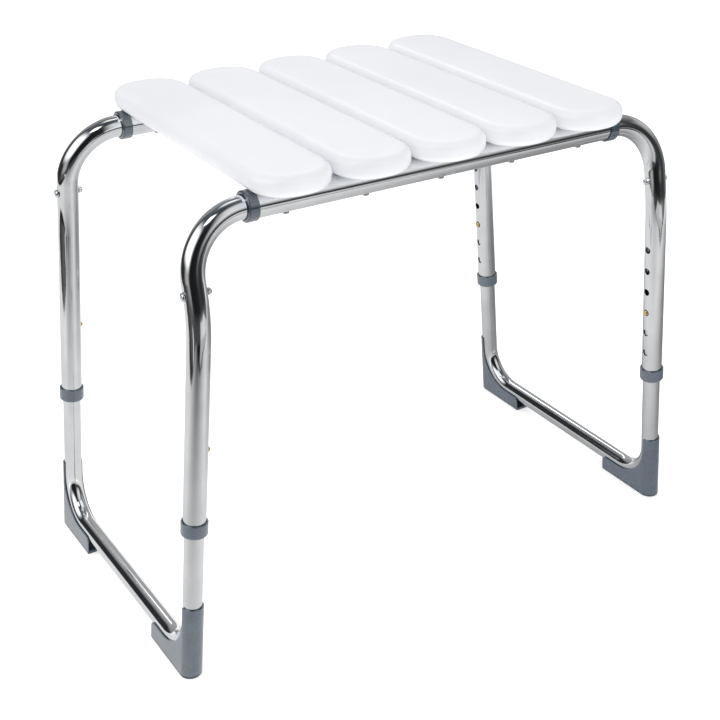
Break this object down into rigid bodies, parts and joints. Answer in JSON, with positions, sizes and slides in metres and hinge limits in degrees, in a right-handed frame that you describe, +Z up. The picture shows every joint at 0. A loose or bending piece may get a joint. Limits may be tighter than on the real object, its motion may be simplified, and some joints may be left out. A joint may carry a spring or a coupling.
{
  "type": "shower stool",
  "caption": "Height-adjustable shower stool with a slatted white plastic seat on a chromed bent-tube frame, telescoping legs with brass snap buttons and grey corner feet.",
  "frame": {"origin": "on the floor under the middle of the seat, at the height setting shown", "axes": "+X runs along the rails to the right, +Y to the back along the slats, +Z up"},
  "size_m": [0.6256, 0.356, 0.4975],
  "materials": {
    "slat_plastic": "satin, smooth moulded",
    "chrome_tube": "polished chrome plate",
    "grey_plastic": "satin blue-grey, smooth moulded",
    "brass": "turned, bright",
    "steel": "zinc plated, bright",
    "spring_steel": "rolled strip"
  },
  "bodies": {
    "upper_frame": {"slat_1": "slat_plastic", "slat_2": "slat_plastic", "slat_3": "slat_plastic", "slat_4": "slat_plastic", "slat_5": "slat_plastic", "slat_screw_front_1": "steel", "slat_screw_front_2": "steel", "slat_screw_front_3": "steel", "slat_screw_front_4": "steel", "slat_screw_front_5": "steel", "slat_screw_rear_1": "steel", "slat_screw_rear_2": "steel", "slat_screw_rear_3": "steel", "slat_screw_rear_4": "steel", "slat_screw_rear_5": "steel", "front_rail": "chrome_tube", "rear_rail": "chrome_tube", "upper_leg_front_left": "chrome_tube", "rail_bushing_front_left": "grey_plastic", "leg_collar_front_left": "grey_plastic", "leg_bolt_front_left": "steel", "cap_nut_front_left": "steel", "upper_leg_rear_left": "chrome_tube", "rail_bushing_rear_left": "grey_plastic", "leg_collar_rear_left": "grey_plastic", "leg_bolt_rear_left": "steel", "cap_nut_rear_left": "steel", "upper_leg_front_right": "chrome_tube", "rail_bushing_front_right": "grey_plastic", "leg_collar_front_right": "grey_plastic", "leg_bolt_front_right": "steel", "cap_nut_front_right": "steel", "upper_leg_rear_right": "chrome_tube", "rail_bushing_rear_right": "grey_plastic", "leg_collar_rear_right": "grey_plastic", "leg_bolt_rear_right": "steel", "cap_nut_rear_right": "steel"},
    "lower_left": {"lower_frame_left": "chrome_tube", "foot_front_left": "grey_plastic", "snap_spring_front_left": "spring_steel", "foot_rear_left": "grey_plastic", "snap_spring_rear_left": "spring_steel"},
    "lower_right": {"lower_frame_right": "chrome_tube", "foot_front_right": "grey_plastic", "snap_spring_front_right": "spring_steel", "foot_rear_right": "grey_plastic", "snap_spring_rear_right": "spring_steel"},
    "button_front_left": {"snap_button_front_left": "brass"},
    "button_rear_left": {"snap_button_rear_left": "brass"},
    "button_front_right": {"snap_button_front_right": "brass"},
    "button_rear_right": {"snap_button_rear_right": "brass"}
  },
  "joints": [
    {"name": "left_height_slide", "type": "slide", "parent": "upper_frame", "child": "lower_left", "axis": [0.0915, 0, 0.9958], "range_m": [-0.0508, 0.0762], "deforming": ["snap_button_front_left", "snap_button_rear_left"]},
    {"name": "right_height_slide", "type": "slide", "parent": "upper_frame", "child": "lower_right", "axis": [-0.0915, 0, 0.9958], "range_m": [-0.0508, 0.0762], "deforming": ["snap_button_front_right", "snap_button_rear_right"]},
    {"name": "button_press_front_left", "type": "slide", "parent": "lower_left", "child": "button_front_left", "axis": [-0.9958, 0, 0.0915], "range_m": [0, 0.0042], "stiffness_N_per_m": 1500, "springref_m": -0.003, "deforming": ["snap_spring_front_left"]},
    {"name": "button_press_rear_left", "type": "slide", "parent": "lower_left", "child": "button_rear_left", "axis": [-0.9958, 0, 0.0915], "range_m": [0, 0.0042], "stiffness_N_per_m": 1500, "springref_m": -0.003, "deforming": ["snap_spring_rear_left"]},
    {"name": "button_press_front_right", "type": "slide", "parent": "lower_right", "child": "button_front_right", "axis": [0.9958, 0, 0.0915], "range_m": [0, 0.0042], "stiffness_N_per_m": 1500, "springref_m": -0.003, "deforming": ["snap_spring_front_right"]},
    {"name": "button_press_rear_right", "type": "slide", "parent": "lower_right", "child": "button_rear_right", "axis": [0.9958, 0, 0.0915], "range_m": [0, 0.0042], "stiffness_N_per_m": 1500, "springref_m": -0.003, "deforming": ["snap_spring_rear_right"]}
  ]
}
